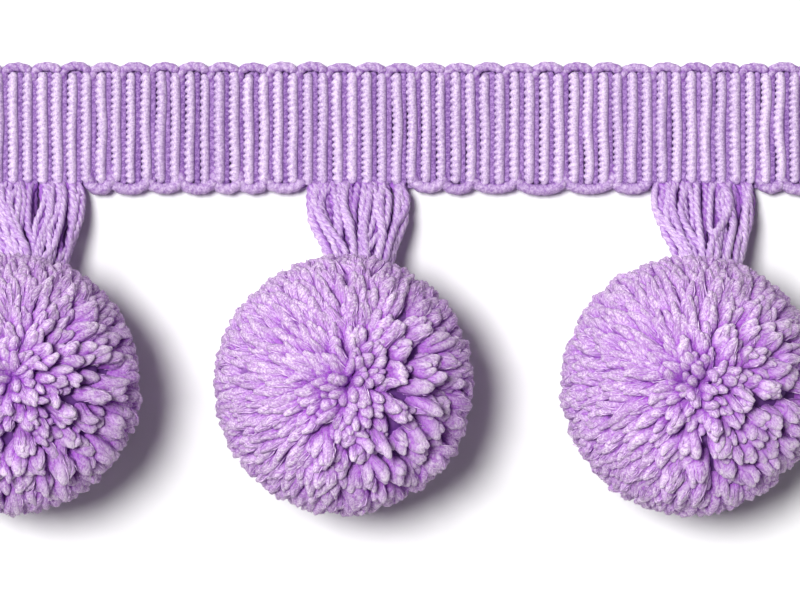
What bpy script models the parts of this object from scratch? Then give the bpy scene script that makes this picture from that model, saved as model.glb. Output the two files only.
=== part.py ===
"""A cut length of pompom fringe trim, lying face up on a flat surface.

A woven gimp heading runs along X. From its -Y edge three short necks of yarn climb to three
cut-yarn pompoms, which rest on the surface beside it. Metres, +Z up; the origin is the middle
of the heading's flat back, which lies in the plane z = 0.

Run it with: blender --background --python part.py
"""

import math

import bmesh
import bpy
from mathutils import Matrix, Vector

MM = 0.001

# Heading: gimp cords laid side by side, looped back at both edges.
RIB_PITCH = 1.416 * MM
RIB_COUNT = 68
STEPS_PER_RIB = 4
HEADING_HALF_WIDTH = 6.3 * MM
LOOP_VALLEY = 5.85 * MM
NECK_SEAT = 5.5 * MM
RIB_FOOT = 5.35 * MM
RIB_SHOULDER = 5.05 * MM
RIB_TOP = 2.0 * MM
GROOVE_FLOOR = 1.3 * MM
LOOP_HEIGHT = 1.25 * MM
FACE_LOOP_START = 0.75
FACE_LOOP_RIBS = 2.0
NECK_RIBS = 7.5

# Loops along the -Y edge, in ribs from the left end: the stretch's name, then each loop's width.
LOWER_LOOPS = (
    ("left_end", (2.54, 2.5, 2.0)),
    ("left_neck", ()),
    ("left_gap", (1.5, 2.5, 2.25, 2.25, 1.75, 1.75, 2.5)),
    ("middle_neck", ()),
    ("right_gap", (2.0, 2.0, 3.0, 3.25, 3.25, 2.5)),
    ("right_neck", ()),
    ("right_end", (1.5, 2.25, 2.0, 2.21)),
)

# Pompoms: balls of cut yarn, each with a flat spot where it rests.
POMPOM_RADIUS = 12.5 * MM
POMPOM_DROP = 24.6 * MM
FLAT_SPOT_RADIUS = 3.0 * MM
TUFT_COUNT = 84
TUFT_RELIEF = 0.55 * MM
GOLDEN_ANGLE = math.pi * (3 - math.sqrt(5))

# One row for each pompom: name, its neck's middle in ribs from the left end, how far the ball
# hangs to the side of its neck, and the turn of the ball about its own middle, in degrees.
POMPOMS = (
    ("left", 10.79, -1.5 * MM, 20),
    ("middle", 32.79, -1.1 * MM, 75),
    ("right", 56.29, -1.6 * MM, 140),
)

# Neck sections from the heading to inside the ball: distance from the heading's middle line,
# half width, height of the middle, half thickness, and sideways shift.
NECK_SECTIONS = (
    (5.8 * MM, 5.00 * MM, 1.25 * MM, 1.00 * MM, 0.00 * MM),
    (6.6 * MM, 5.10 * MM, 1.75 * MM, 1.25 * MM, 0.00 * MM),
    (7.6 * MM, 5.15 * MM, 2.45 * MM, 1.50 * MM, 0.00 * MM),
    (9.0 * MM, 4.90 * MM, 3.35 * MM, 1.80 * MM, 0.10 * MM),
    (10.2 * MM, 4.40 * MM, 4.15 * MM, 2.00 * MM, 0.15 * MM),
    (11.2 * MM, 3.85 * MM, 4.80 * MM, 2.15 * MM, 0.25 * MM),
    (12.4 * MM, 3.50 * MM, 5.60 * MM, 2.30 * MM, 0.25 * MM),
    (14.0 * MM, 3.20 * MM, 6.60 * MM, 2.35 * MM, 0.00 * MM),
    (16.0 * MM, 3.00 * MM, 7.80 * MM, 2.35 * MM, -0.40 * MM),
)
NECK_POINTS = 28
# Furrows between the locks of yarn: place across the neck from -1 to 1, depth as a share of the
# half thickness, and width as a share of the half width.
NECK_FURROWS = (
    (-0.62, 0.14, 0.12),
    (-0.11, 0.24, 0.14),
    (0.24, 0.14, 0.12),
    (0.62, 0.36, 0.15),
)
SOCKET_START = 10.5 * MM
SOCKET_GAP = 0.35 * MM
SOCKET_POINTS = 16

YARN_COLOUR = (0.56, 0.35, 0.71, 1.0)
GIMP_COLOUR = (0.53, 0.36, 0.68, 1.0)
PILE_COLOUR = (0.52, 0.30, 0.68, 1.0)


def clear_scene():
    for obj in list(bpy.data.objects):
        bpy.data.objects.remove(obj, do_unlink=True)


def collection(name):
    made = bpy.data.collections.new(name)
    bpy.context.scene.collection.children.link(made)
    return made


def cloth(name, colour, roughness):
    material = bpy.data.materials.new(name)
    material.use_nodes = True
    shader = material.node_tree.nodes["Principled BSDF"]
    shader.inputs["Base Color"].default_value = colour
    shader.inputs["Roughness"].default_value = roughness
    shader.inputs["Metallic"].default_value = 0.0
    return material


def add_object(name, mesh_data, material, home):
    mesh = bpy.data.meshes.new(name)
    bmesh.ops.recalc_face_normals(mesh_data, faces=mesh_data.faces)
    mesh_data.to_mesh(mesh)
    mesh_data.free()
    mesh.shade_smooth()
    mesh.set_sharp_from_angle(angle=math.radians(40))
    mesh.materials.append(material)
    obj = bpy.data.objects.new(name, mesh)
    home.objects.link(obj)
    return obj


def loft(rings):
    """A closed body through rings of equal length, with a flat cap at each end."""
    body = bmesh.new()
    rows = [[body.verts.new(point) for point in ring] for ring in rings]
    count = len(rows[0])
    for near, far in zip(rows, rows[1:]):
        for i in range(count):
            j = (i + 1) % count
            body.faces.new((near[i], near[j], far[j], far[i]))
    body.faces.new(rows[0])
    body.faces.new(reversed(rows[-1]))
    return body


def along(ribs):
    """The place along X of a point counted in ribs from the left end."""
    return (ribs - RIB_COUNT / 2) * RIB_PITCH


def arch(share):
    """Height of a half round, 0 at both ends of a span and 1 in its middle."""
    return math.sqrt(max(0.0, 1 - (2 * share - 1) ** 2))


def lower_edge_spans():
    """(start, end, is a neck's seat) of each stretch of the -Y edge, in ribs."""
    spans = []
    at = 0.0
    for name, widths in LOWER_LOOPS:
        for width in widths or (NECK_RIBS,):
            spans.append((at, at + width, not widths))
            at += width
    return spans


def loop_reach(share):
    return LOOP_VALLEY + (HEADING_HALF_WIDTH - LOOP_VALLEY) * arch(share)


def lower_edge(ribs, spans):
    start, end, seat = next(span for span in spans if ribs <= span[1] or span is spans[-1])
    if seat:
        return NECK_SEAT
    return loop_reach((ribs - start) / (end - start))


def upper_edge(ribs):
    return loop_reach(((ribs - FACE_LOOP_START) % FACE_LOOP_RIBS) / FACE_LOOP_RIBS)


def heading_section(ribs, spans):
    """One cross-section of the heading: a flat back, low loops at the edges, a rib between."""
    x = along(ribs)
    lower = -lower_edge(ribs, spans)
    upper = upper_edge(ribs)
    crest = GROOVE_FLOOR + (RIB_TOP - GROOVE_FLOOR) * arch(ribs % 1.0)
    outline = (
        (lower, 0.0),
        (lower, LOOP_HEIGHT),
        (-RIB_FOOT, LOOP_HEIGHT),
        (-RIB_SHOULDER, crest),
        (RIB_SHOULDER, crest),
        (RIB_FOOT, LOOP_HEIGHT),
        (upper, LOOP_HEIGHT),
        (upper, 0.0),
    )
    return [Vector((x, y, z)) for y, z in outline]


def make_heading(home, material):
    spans = lower_edge_spans()
    stations = [step / STEPS_PER_RIB for step in range(RIB_COUNT * STEPS_PER_RIB + 1)]
    body = loft([heading_section(ribs, spans) for ribs in stations])
    return add_object("heading", body, material, home)


def furrow(across):
    """The share of thickness lost in the furrows between locks of yarn."""
    return sum(
        depth * math.exp(-(((across - place) / width) ** 2))
        for place, depth, width in NECK_FURROWS
    )


def neck_section(section, middle, furrowed, margin, points):
    """One ring of a neck, or of the socket around it, in a plane across Y."""
    distance, half_width, height, half_thickness, shift = section
    ring = []
    for i in range(points):
        turn = 2 * math.pi * i / points
        across = math.cos(turn)
        rise = math.sin(turn) * (half_thickness + margin)
        if furrowed:
            rise *= 1 - furrow(across)
        x = middle + shift + across * (half_width + margin)
        ring.append(Vector((x, -distance, height + rise)))
    return ring


def make_neck(name, middle, home, material):
    rings = [neck_section(row, middle, True, 0.0, NECK_POINTS) for row in NECK_SECTIONS]
    return add_object("neck_" + name, loft(rings), material, home)


def make_socket(name, middle, home, material):
    """The hollow in a ball where its neck goes in: the neck's own form, a little larger."""
    inside = [row for row in NECK_SECTIONS if row[0] > SOCKET_START]
    distance, *rest = inside[-1]
    inside.append((distance + SOCKET_GAP, *rest))
    rings = [neck_section(row, middle, False, SOCKET_GAP, SOCKET_POINTS) for row in inside]
    cutter = add_object("socket_" + name, loft(rings), material, home)
    cutter.hide_render = True
    cutter.display_type = "WIRE"
    return cutter


def tuft_directions():
    """Even directions over a ball, one for each tuft of yarn."""
    directions = []
    for i in range(TUFT_COUNT):
        z = 1 - (2 * i + 1) / TUFT_COUNT
        flat = math.sqrt(1 - z * z)
        turn = i * GOLDEN_ANGLE
        directions.append(Vector((flat * math.cos(turn), flat * math.sin(turn), z)))
    return directions


def tufted_ball():
    """A ball of tufts: the surface dips between them."""
    body = bmesh.new()
    bmesh.ops.create_icosphere(body, subdivisions=4, radius=POMPOM_RADIUS)
    tufts = tuft_directions()
    tuft_half_angle = 2 / math.sqrt(TUFT_COUNT)
    for vert in body.verts:
        way = vert.co.normalized()
        nearest = min(way.angle(tuft) for tuft in tufts)
        dip = min(1.0, nearest / tuft_half_angle) ** 2
        vert.co = way * (POMPOM_RADIUS - TUFT_RELIEF * dip)
    return body


def make_pompom(name, neck_middle, side_shift, turn, socket, home, material):
    body = tufted_ball()
    spin = Matrix.Rotation(math.radians(turn), 4, Vector((0.3, 0.5, 1.0)))
    bmesh.ops.transform(body, matrix=spin, verts=body.verts)
    rest_height = math.sqrt(POMPOM_RADIUS**2 - FLAT_SPOT_RADIUS**2)
    cut = bmesh.ops.bisect_plane(
        body,
        geom=[*body.verts, *body.edges, *body.faces],
        plane_co=(0, 0, -rest_height),
        plane_no=(0, 0, -1),
        clear_outer=True,
    )
    rim = [item for item in cut["geom_cut"] if isinstance(item, bmesh.types.BMEdge)]
    bmesh.ops.edgeloop_fill(body, edges=rim)
    pompom = add_object("pompom_" + name, body, material, home)
    pompom.location = (neck_middle + side_shift, -POMPOM_DROP, rest_height)
    hollow = pompom.modifiers.new("neck socket", "BOOLEAN")
    hollow.operation = "DIFFERENCE"
    hollow.solver = "EXACT"
    hollow.object = socket
    return pompom


def main():
    clear_scene()
    parts = collection("pompom fringe trim")
    cutters = collection("cutters")
    gimp = cloth("gimp braid", GIMP_COLOUR, 0.55)
    yarn = cloth("neck yarn", YARN_COLOUR, 0.75)
    pile = cloth("cut yarn pile", PILE_COLOUR, 0.9)
    make_heading(parts, gimp)
    for name, ribs, side_shift, turn in POMPOMS:
        middle = along(ribs)
        make_neck(name, middle, parts, yarn)
        socket = make_socket(name, middle, cutters, pile)
        make_pompom(name, middle, side_shift, turn, socket, parts, pile)


main()
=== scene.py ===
"""The looks of a cut length of pompom fringe trim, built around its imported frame.

The heading is a thin ground cloth under twisted gimp cords, with looped edges. Each neck is eight
locks of plied yarn. Each pompom is a mass of yarn roots under more than a thousand cut strands,
with loose fibres on them. Metres, +Z up.
"""

import math

import bmesh
import bpy
import numpy as np
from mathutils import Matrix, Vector

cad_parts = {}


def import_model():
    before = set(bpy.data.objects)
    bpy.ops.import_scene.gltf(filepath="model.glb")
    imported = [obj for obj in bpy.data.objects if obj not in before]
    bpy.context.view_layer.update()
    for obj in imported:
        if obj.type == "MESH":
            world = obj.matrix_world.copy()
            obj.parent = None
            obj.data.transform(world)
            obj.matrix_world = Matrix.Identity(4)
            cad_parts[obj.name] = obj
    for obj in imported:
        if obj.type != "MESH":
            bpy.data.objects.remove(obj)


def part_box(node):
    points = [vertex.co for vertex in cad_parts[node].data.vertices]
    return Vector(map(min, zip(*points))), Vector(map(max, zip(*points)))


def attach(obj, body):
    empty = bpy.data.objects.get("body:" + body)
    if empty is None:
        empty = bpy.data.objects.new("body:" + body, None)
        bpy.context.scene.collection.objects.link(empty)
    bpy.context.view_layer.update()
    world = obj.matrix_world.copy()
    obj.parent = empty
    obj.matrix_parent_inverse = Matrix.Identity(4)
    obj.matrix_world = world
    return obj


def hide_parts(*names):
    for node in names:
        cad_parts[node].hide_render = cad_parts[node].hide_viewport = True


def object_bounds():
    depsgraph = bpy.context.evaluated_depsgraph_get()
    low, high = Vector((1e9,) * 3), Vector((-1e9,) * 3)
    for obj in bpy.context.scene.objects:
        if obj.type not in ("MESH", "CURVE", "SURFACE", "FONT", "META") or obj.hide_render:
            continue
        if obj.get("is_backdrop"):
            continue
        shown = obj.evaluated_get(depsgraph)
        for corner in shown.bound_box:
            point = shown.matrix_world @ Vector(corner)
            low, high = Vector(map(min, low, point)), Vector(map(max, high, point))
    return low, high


MM = 0.001
GOLDEN_ANGLE = math.pi * (3 - math.sqrt(5))

# Camera and light. The overhead light gives the close shadows on the floor, and the side light
# the raking light on the yarn. Their angles are how wide they look, in degrees.
VIEW_CENTRE = (2.39 * MM, -16.5 * MM)
VIEW_WIDTH = 76.6 * MM
VIEW_PLANE = 4.0 * MM
SENSOR_WIDTH = 36.0
LENS = 400.0
CLIP_RANGE = (0.01, 10)
OVERHEAD_FROM = (-0.26, 0.12, 1.0)
OVERHEAD_STRENGTH = 3.5
OVERHEAD_ANGLE = 17
SIDE_FROM = (-0.78, 0.45, 0.60)
SIDE_STRENGTH = 1.3
SIDE_ANGLE = 30
SKY_STRENGTH = 0.12
FLOOR_SIZE = 3.0
FLOOR_DROP = 0.02 * MM
FLOOR_WHITENESS = 0.88
FLOOR_ROUGHNESS = 0.9

# Yarn meshes: how far a strand's ends are drawn in and how much painted shade they get, the
# margin between the strands in a map, the range in which the wave along a yarn starts, in
# radians, and the step between the tones of neighbours.
END_FLATNESS = 0.02
END_SHADE = 0.5
MAP_MARGIN = 0.05
WAVE_STARTS = (0, 6)
TONE_STEP = 0.618

# Yarn materials: the fibres' contrast and relief, how far apart the fibres of two tones are taken
# from the noise, how far the painted shade in a nook reaches, how much of the light colour stays in
# that painted shade, and the sheen.
FIBRE_CONTRAST = 3.4
FIBRE_ROUGHNESS = 0.65
FIBRE_RELIEF = 0.09 * MM
TONE_DISTANCE = 97.0
NOOK_REACH = 1.5 * MM
NOOK_SAMPLES = 6
NOOK_LIGHTNESS = 0.2
SHEEN_WEIGHT = 0.1
SHEEN_ROUGHNESS = 0.5
SHEEN_TINT = (0.80, 0.64, 0.95, 1.0)

# Heading: a proud beaded cord, or rib, and a low smooth cord, or band, in each pitch. A rib's
# section has its points at RIB_ANGLES, in degrees from its right, closest on its notched left.
RIB_SEED = 5
RIB_COUNT = 68
RIB_END = 5.36 * MM
RIB_HALF_WIDTH = 0.57 * MM
RIB_HALF_HEIGHT = 0.75 * MM
RIB_AXIS_HEIGHT = 1.60 * MM
RIB_OFFSET = -0.08 * MM
RIB_RINGS = 80
RIB_ROUNDING = 0.05
RIB_ANGLES = (0, 45, 80, 105, 127, 146, 163, 185, 235, 300)
RIB_SWAY = 0.04 * MM
RIB_UNEVENNESS = 0.08 * MM
RIB_WIDTH_SPREAD = 0.04
RIB_END_DROP = 0.30 * MM
RIB_END_SQUARENESS = 8
BEAD_PITCH = 0.594 * MM
BEAD_SPREAD = 0.03
BEAD_SLANT = 0.30
BEAD_WANDER = 0.10
BEAD_WANDER_RATE = 1.7
# The notch between two beads: its depth as a share of the radius, all round and added on the left,
# how sharp it is, and the range of its strength.
NOTCH_DEPTH = 0.05
NOTCH_DEPTH_LEFT = 0.40
NOTCH_SHARPNESS = 1.5
NOTCH_STRENGTHS = (0.7, 1.15)
# Painted shade on the cord: in a notch, added there on its left, on its right, which is turned
# from the side light, and below it.
NOTCH_SHADE = 0.10
NOTCH_SHADE_LEFT = 0.90
RIB_SHADE_RIGHT = 0.15
RIB_SHADE_BELOW = 0.30
BAND_SEED = 6
BAND_END = 5.55 * MM
BAND_OFFSET = 0.62 * MM
BAND_RADIUS = 0.38 * MM
BAND_AXIS_HEIGHT = 1.38 * MM
BAND_RINGS = 32
BAND_SIDES = 6
BAND_ROUNDING = 0.03
BAND_UNEVENNESS = 0.03 * MM
BAND_WRAP = 0.80 * MM
BAND_FURROW = 0.12
# Painted shade on the low cords, down in their grooves.
BAND_DEPTH = 0.15
GROUND_HALF_WIDTH = 5.75 * MM
GROUND_TOP = 1.05 * MM
GROUND_ROWS = 20
GROUND_COLUMNS_A_RIB = 4
GROUND_RELIEF = 0.16 * MM
GROUND_CROSSING = 0.7
GROUND_ROW_TONE_STEP = 0.37

# Loops. A loop starts on the face, a share of it is a leg that runs to the base of its arch, and
# the arch makes a little less than a half turn and comes down over the next loop.
UPPER_LOOP_SEED = 7
LOWER_LOOP_SEED = 9
UPPER_LOOP_RADIUS = 0.48 * MM
LOWER_LOOP_RADIUS = 0.59 * MM
UPPER_LOOP_BASE = 5.15 * MM
LOWER_LOOP_BASE = 4.70 * MM
# The upper loops' tones are darker than the lower ones': painted shade on the edge that catches the
# light.
UPPER_LOOP_DARKNESS = 0.3
LOWER_LOOP_DARKNESS = -0.1
LOOP_RINGS = 36
LOOP_SIDES = 10
LOOP_ROUNDING = 0.07
LOOP_START = 3.0 * MM
LOOP_REACH = 6.40 * MM
LOOP_UNEVENNESS = 0.05 * MM
LOOP_THICKNESS_SPREAD = 0.04
LOOP_LEG = 0.34
LOOP_TURN = 0.97
LOOP_SHIFT = 0.02
LOOP_FULLNESS = 0.9
LOOP_HEIGHT = 1.05 * MM
LOOP_CLIMB = 0.45 * MM
LOOP_OVERLAP = 0.30 * MM
LOOP_OVERLAP_FROM = 0.45
# The share of a loop, from its start, over which its painted shade fades out along the leg.
LOOP_SHADED_SHARE = 0.45
LOOP_WRAP = 0.80 * MM
LOOP_FURROW = 0.20
LOOP_FURROW_WIDTH = 0.8

# Loops along the +Y edge, in ribs: the first one's start, their spacing and their width.
UPPER_LOOP_START = -1.20
UPPER_LOOP_SPACING = 2
UPPER_LOOP_WIDTH = 1.75
# Loops along the -Y edge, in ribs from the left end: the stretch's first rib, then each width.
LOWER_LOOPS = (
    (0.0, (2.54, 2.5, 2.0)),
    (14.54, (1.5, 2.5, 2.25, 2.25, 1.75, 1.75, 2.5)),
    (36.54, (2.0, 2.0, 3.0, 3.25, 3.25, 2.5)),
    (60.04, (1.5, 2.25, 2.0, 2.21)),
)

# Neck sections from the heading to inside the ball, in mm: distance from the heading's middle
# line, half width, height of the middle, half thickness, and sideways shift.
NECK_SECTIONS = (
    (5.0, 5.00, 1.05, 0.40, 0.00),
    (5.5, 5.10, 1.25, 0.65, 0.00),
    (6.1, 5.20, 1.60, 0.95, 0.00),
    (6.8, 5.25, 2.05, 1.20, 0.00),
    (7.8, 5.20, 2.65, 1.42, 0.00),
    (9.0, 4.90, 3.35, 1.60, 0.10),
    (10.2, 4.40, 4.15, 1.80, 0.15),
    (11.2, 3.85, 4.80, 1.95, 0.25),
    (12.4, 3.50, 5.60, 2.10, 0.25),
    (14.0, 3.20, 6.60, 2.15, 0.00),
    (16.0, 3.00, 7.80, 2.15, -0.40),
)
# Locks of yarn in a neck: number of yarns, where the lock's left and right edges run at the
# heading and at the ball (-1 to 1 across the neck), its level (-1 to 1 through the neck), and how
# far its middle stands proud.
NECK_LOCKS = (
    (10, (-0.97, -0.14), (-0.97, -0.20), 0.95, 0.05),
    (7, (0.16, 0.64), (-0.08, 0.52), 0.95, 0.12),
    (4, (0.80, 0.97), (0.80, 0.97), 0.90, -0.05),
    (1, (-0.06, 0.12), (-0.16, -0.10), 0.62, 0.00),
    (9, (-0.93, -0.12), (-0.90, -0.22), 0.45, 0.00),
    (6, (0.18, 0.60), (0.00, 0.50), 0.45, 0.00),
    (10, (-0.20, 0.92), (-0.20, 0.92), 0.00, 0.00),
    (11, (-0.92, 0.92), (-0.88, 0.88), -0.60, 0.00),
)
NECK_SQUARENESS = 2.4
# How far a neck's yarns wander: across it in one, two and three half waves, and up and down.
NECK_BENDS = (0.12, 0.12, 0.06)
NECK_UNEVENNESS = 0.14
# How far inside the sections the yarns' middle lines stay, and how far outside them the pile
# keeps, in mm.
NECK_SIDE_INSET = 0.35
NECK_TOP_INSET = 0.20
NECK_SIDE_CLEARANCE = 0.1
NECK_TOP_CLEARANCE = 0.2
# A yarn gets painted shade for each unit that its level is below the top one, and from a share
# of its length on, where it goes into the ball.
NECK_TOP_LEVEL = 0.95
NECK_SHADE = 0.82
NECK_DARK_FROM = 0.80
NECK_DARK_LENGTH = 0.2
NECK_YARN_RADIUS = 0.42 * MM
NECK_YARN_SPREAD = 0.07
NECK_YARN_RINGS = 36
NECK_YARN_ROUNDING = 0.03
NECK_YARN_PLIES = 4
NECK_YARN_FURROW = 0.30
NECK_TWIST = -3.8 * MM

# Pompoms: the strands, the places of their rings on the way from root to tip, and their form.
PILE_STRANDS = 1600
PILE_SHARES = (0.0, 0.50, 0.74, 0.89, 0.97, 1.0)
PILE_SIDES = 7
PILE_ROOT = 8.8 * MM
PILE_ROOT_RADIUS = 0.38 * MM
PILE_TIP_RADIUS = 0.59 * MM
PILE_TIP_ROUNDING = 0.20
PILE_TAPER = 0.27
PILE_CURL = 0.035
PILE_CURL_WAVES = (1, 2.2)
PILE_BEND = 1.7
PILE_SWELL_END = 0.75
PILE_TIP_SQUARENESS = 2.2
PILE_TIP_FLATNESS = 0.12
PILE_THINNESS = 0.80
PILE_THICKNESS_SPREAD = 0.12
PILE_THICKNESSES = (0.7, 1.3)
PILE_ROUGHNESS = 0.06
# Painted shade down in the pile, towards the strands' roots.
PILE_SHADE = 2.2
# How far the strands reach from the ball's middle, and how far apart they are scattered.
PILE_REACH = 12.28 * MM
PILE_FURTHEST = 12.60 * MM
PILE_UNEVENNESS = 0.22 * MM
PILE_SCATTER = 0.028
PILE_FLOOR_GAP = 0.55 * MM
# How far the strands lean away from the crown, and the angle from it at which that ends.
PILE_LEAN = 1.0
PILE_LEAN_END = 2.4
# Tufts: strands gather towards their tuft's middle, but not near the poles. On the loose side the
# middle strand is the thickest and stands a little above the others.
PILE_CLUSTERS = 260
PILE_CLUSTER_SCATTER = 0.05
PILE_CLUSTERING = 0.06
POLE_CAP = 0.12
TUFT_SWELLING = 0.25
TUFT_STANDING = 0.10 * MM
# Strays: strands that stay outside the tufts and fill the gaps below them.
STRAY_SHARE = 0.32
STRAY_SHORTNESS = 1.1
STRAY_FREEDOM = 0.9
# The pile's loose side: its direction and how far it spreads, and how it differs from the rest.
LOOSE_SIDE = (0.62, -0.34, 0.70)
LOOSE_SPREAD = 0.78
LOOSE_ONSET = 0.7
LOOSE_THINNING = 0.08
LOOSE_SWELLING = 0.15
LOOSE_CLUSTERING = 0.68
LOOSE_UNEVENNESS = 1.15 * MM
LOOSE_UPRIGHTNESS = 0.62
LOOSE_ROUGHNESS = 0.20
LOOSE_THICKENING = 0.1
DENSE_SWELLING = 0.11
# The crown, by angle from the pole: the pile is less loose there and opens a small gap.
CROWN_RADIUS = 0.5
CROWN_LOOSENESS = 0.3
CROWN_GAP = 0.065
CROWN_GAP_SPREAD = 0.25
# Low on the ball the pile is less loose too: the looseness fades out towards an angle from the
# pole, over another angle, but keeps a share.
LOW_END = 1.75
LOW_FADE = 0.6
LOW_LOOSENESS = 0.4
# Tones of the strands: painted light on the loose side, which is turned from the lights, painted
# # shade on the dense side and on the crown, which face them, and how far from the pole the crown's
# # painted shade fades out.
DENSE_TONE = 0.80
LOOSE_TONE = 0.16
CROWN_SHADE_TONE = 1.00
CROWN_SHADE_END = 0.9
TONE_SPREAD = 0.10
# Loose fibres on the strands. Each is a closed three-sided spindle, whose corners are its start,
# three round its middle and its end. FIBRE_MAP has their places in a map.
FIBRE_FACES = ((0, 2, 1), (0, 3, 2), (0, 1, 3), (4, 1, 2), (4, 2, 3), (4, 3, 1))
FIBRE_MAP = ((0.5, 0.1), (0.1, 0.5), (0.5, 0.5), (0.9, 0.5), (0.5, 0.9))
FUZZ_FIBRES = 16500
FUZZ_LENGTH = (0.45 * MM, 1.30 * MM)
FUZZ_WIDTH = 0.12 * MM
FUZZ_SPLAY = 0.08 * MM
FUZZ_THINNING = 0.4
FUZZ_OUTWARDS = 0.8
FUZZ_FLOOR_GAP = 0.05 * MM
# Where on a strand they lie, as shares of its length, and how far out, as a share of its radius.
FUZZ_FURTHEST = 0.97
FUZZ_SPAN = 0.45
FUZZ_GATHERING = 1.4
FUZZ_CLOSENESS = 0.96
FUZZ_LOOSE_SINKING = 0.13
# The mass of roots under the strands, dark as painted shade in the gaps.
CORE_SUBDIVISIONS = 5
CORE_RADIUS = 9.6 * MM
CORE_FILLING = 1.6 * MM
CORE_ROOTS = 400
CORE_RELIEF = 0.6 * MM

# One row for each pompom: name, seed of its yarns, and the sideways tilt of its pole, x then y.
POMPOMS = (
    ("left", 11, (0.055, 0.085)),
    ("middle", 23, (0.060, 0.025)),
    ("right", 37, (0.035, 0.055)),
)


# --- Yarn meshes ---


def unit(vectors):
    return vectors / np.linalg.norm(vectors, axis=-1, keepdims=True)


def sliding_frames(paths, reference):
    """Side and up vectors that follow many paths at once without turning about them."""
    tangents = unit(np.gradient(paths, axis=1))
    side = unit(np.cross(np.broadcast_to(reference, tangents[:, 0].shape), tangents[:, 0]))
    sides = []
    for step in range(paths.shape[1]):
        tangent = tangents[:, step]
        side = unit(side - (side * tangent).sum(-1, keepdims=True) * tangent)
        sides.append(side)
    sides = np.stack(sides, axis=1)
    return sides, np.cross(tangents, sides)


def even_angles(sides):
    return 2 * np.pi * np.arange(sides) / sides


def bends(shares):
    """One, two and three half waves along a yarn, which leave its ends in place."""
    return np.stack([np.sin(count * np.pi * shares) for count in (1, 2, 3)])


def path_lengths(paths):
    """The distance along each path to each of its points."""
    steps = np.linalg.norm(np.diff(paths, axis=1), axis=-1)
    return np.concatenate([np.zeros((len(paths), 1)), np.cumsum(steps, axis=1)], axis=1)


def strand_faces(count, rings, sides):
    """Corner lists of the quads along the strands and of the fans that close their ends."""
    size = rings * sides + 2
    strand, ring, side = np.indices((count, rings - 1, sides))
    first = strand * size + ring * sides
    following = (side + 1) % sides
    quads = np.stack(
        [first + side, first + following, first + sides + following, first + sides + side], -1
    ).reshape(-1, 4)
    strand, side = np.indices((count, sides))
    following = (side + 1) % sides
    start, end = strand * size, strand * size + (rings - 1) * sides
    apex = strand * size + rings * sides
    near = np.stack([apex, start + following, start + side], -1).reshape(-1, 3)
    far = np.stack([apex + 1, end + side, end + following], -1).reshape(-1, 3)
    return quads, np.concatenate([near, far])


def strand_corners(count, rings, sides):
    """The strand, the ring and the share of the way round of each corner, in the order of
    strand_faces."""
    strand, ring, side = np.indices((count, rings - 1, sides))
    quads = [
        (strand, ring + ring_step, (side + side_step) / sides)
        for ring_step, side_step in ((0, 0), (0, 1), (1, 1), (1, 0))
    ]
    strand, side = np.indices((count, sides))
    fans = [
        [(strand, np.full_like(strand, ring), (side + step) / sides) for step in steps]
        for ring, steps in ((0, (0.5, 1, 0)), (rings - 1, (0.5, 0, 1)))
    ]
    return [
        np.concatenate([
            np.stack([corner[part] for corner in corners], axis=-1).ravel()
            for corners in (quads, *fans)
        ])
        for part in range(3)
    ]


def add_uv_map(mesh, name, values):
    layer = mesh.uv_layers.new(name=name, do_init=False)
    layer.uv.foreach_set("vector", values.astype(np.float32).ravel())


def corner_points(mesh):
    """Which point each corner of the mesh's faces is at."""
    points = np.zeros(len(mesh.loops), dtype=int)
    mesh.loops.foreach_get("vertex_index", points)
    return points


def paint_yarn(mesh, furrows, tones, depth_shades):
    """Gives each point what yarn_material reads: its painted shade for lying down a furrow, from 0
    to 1, the tone of its yarn, from about 0 for light to about 1 for dark, and its painted shade
    for lying deep in the pile, from 0 to 1."""
    shade = np.ones((len(mesh.vertices), 4))
    for channel, values in enumerate((furrows, tones, depth_shades)):
        shade[:, channel] = values
    colour = mesh.color_attributes.new("yarn", "FLOAT_COLOR", "POINT")
    colour.data.foreach_set("color", shade.astype(np.float32).ravel())


def add_piece(name, mesh, material):
    mesh.materials.append(material)
    piece = bpy.data.objects.new(name, mesh)
    bpy.context.scene.collection.objects.link(piece)
    return piece


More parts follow.
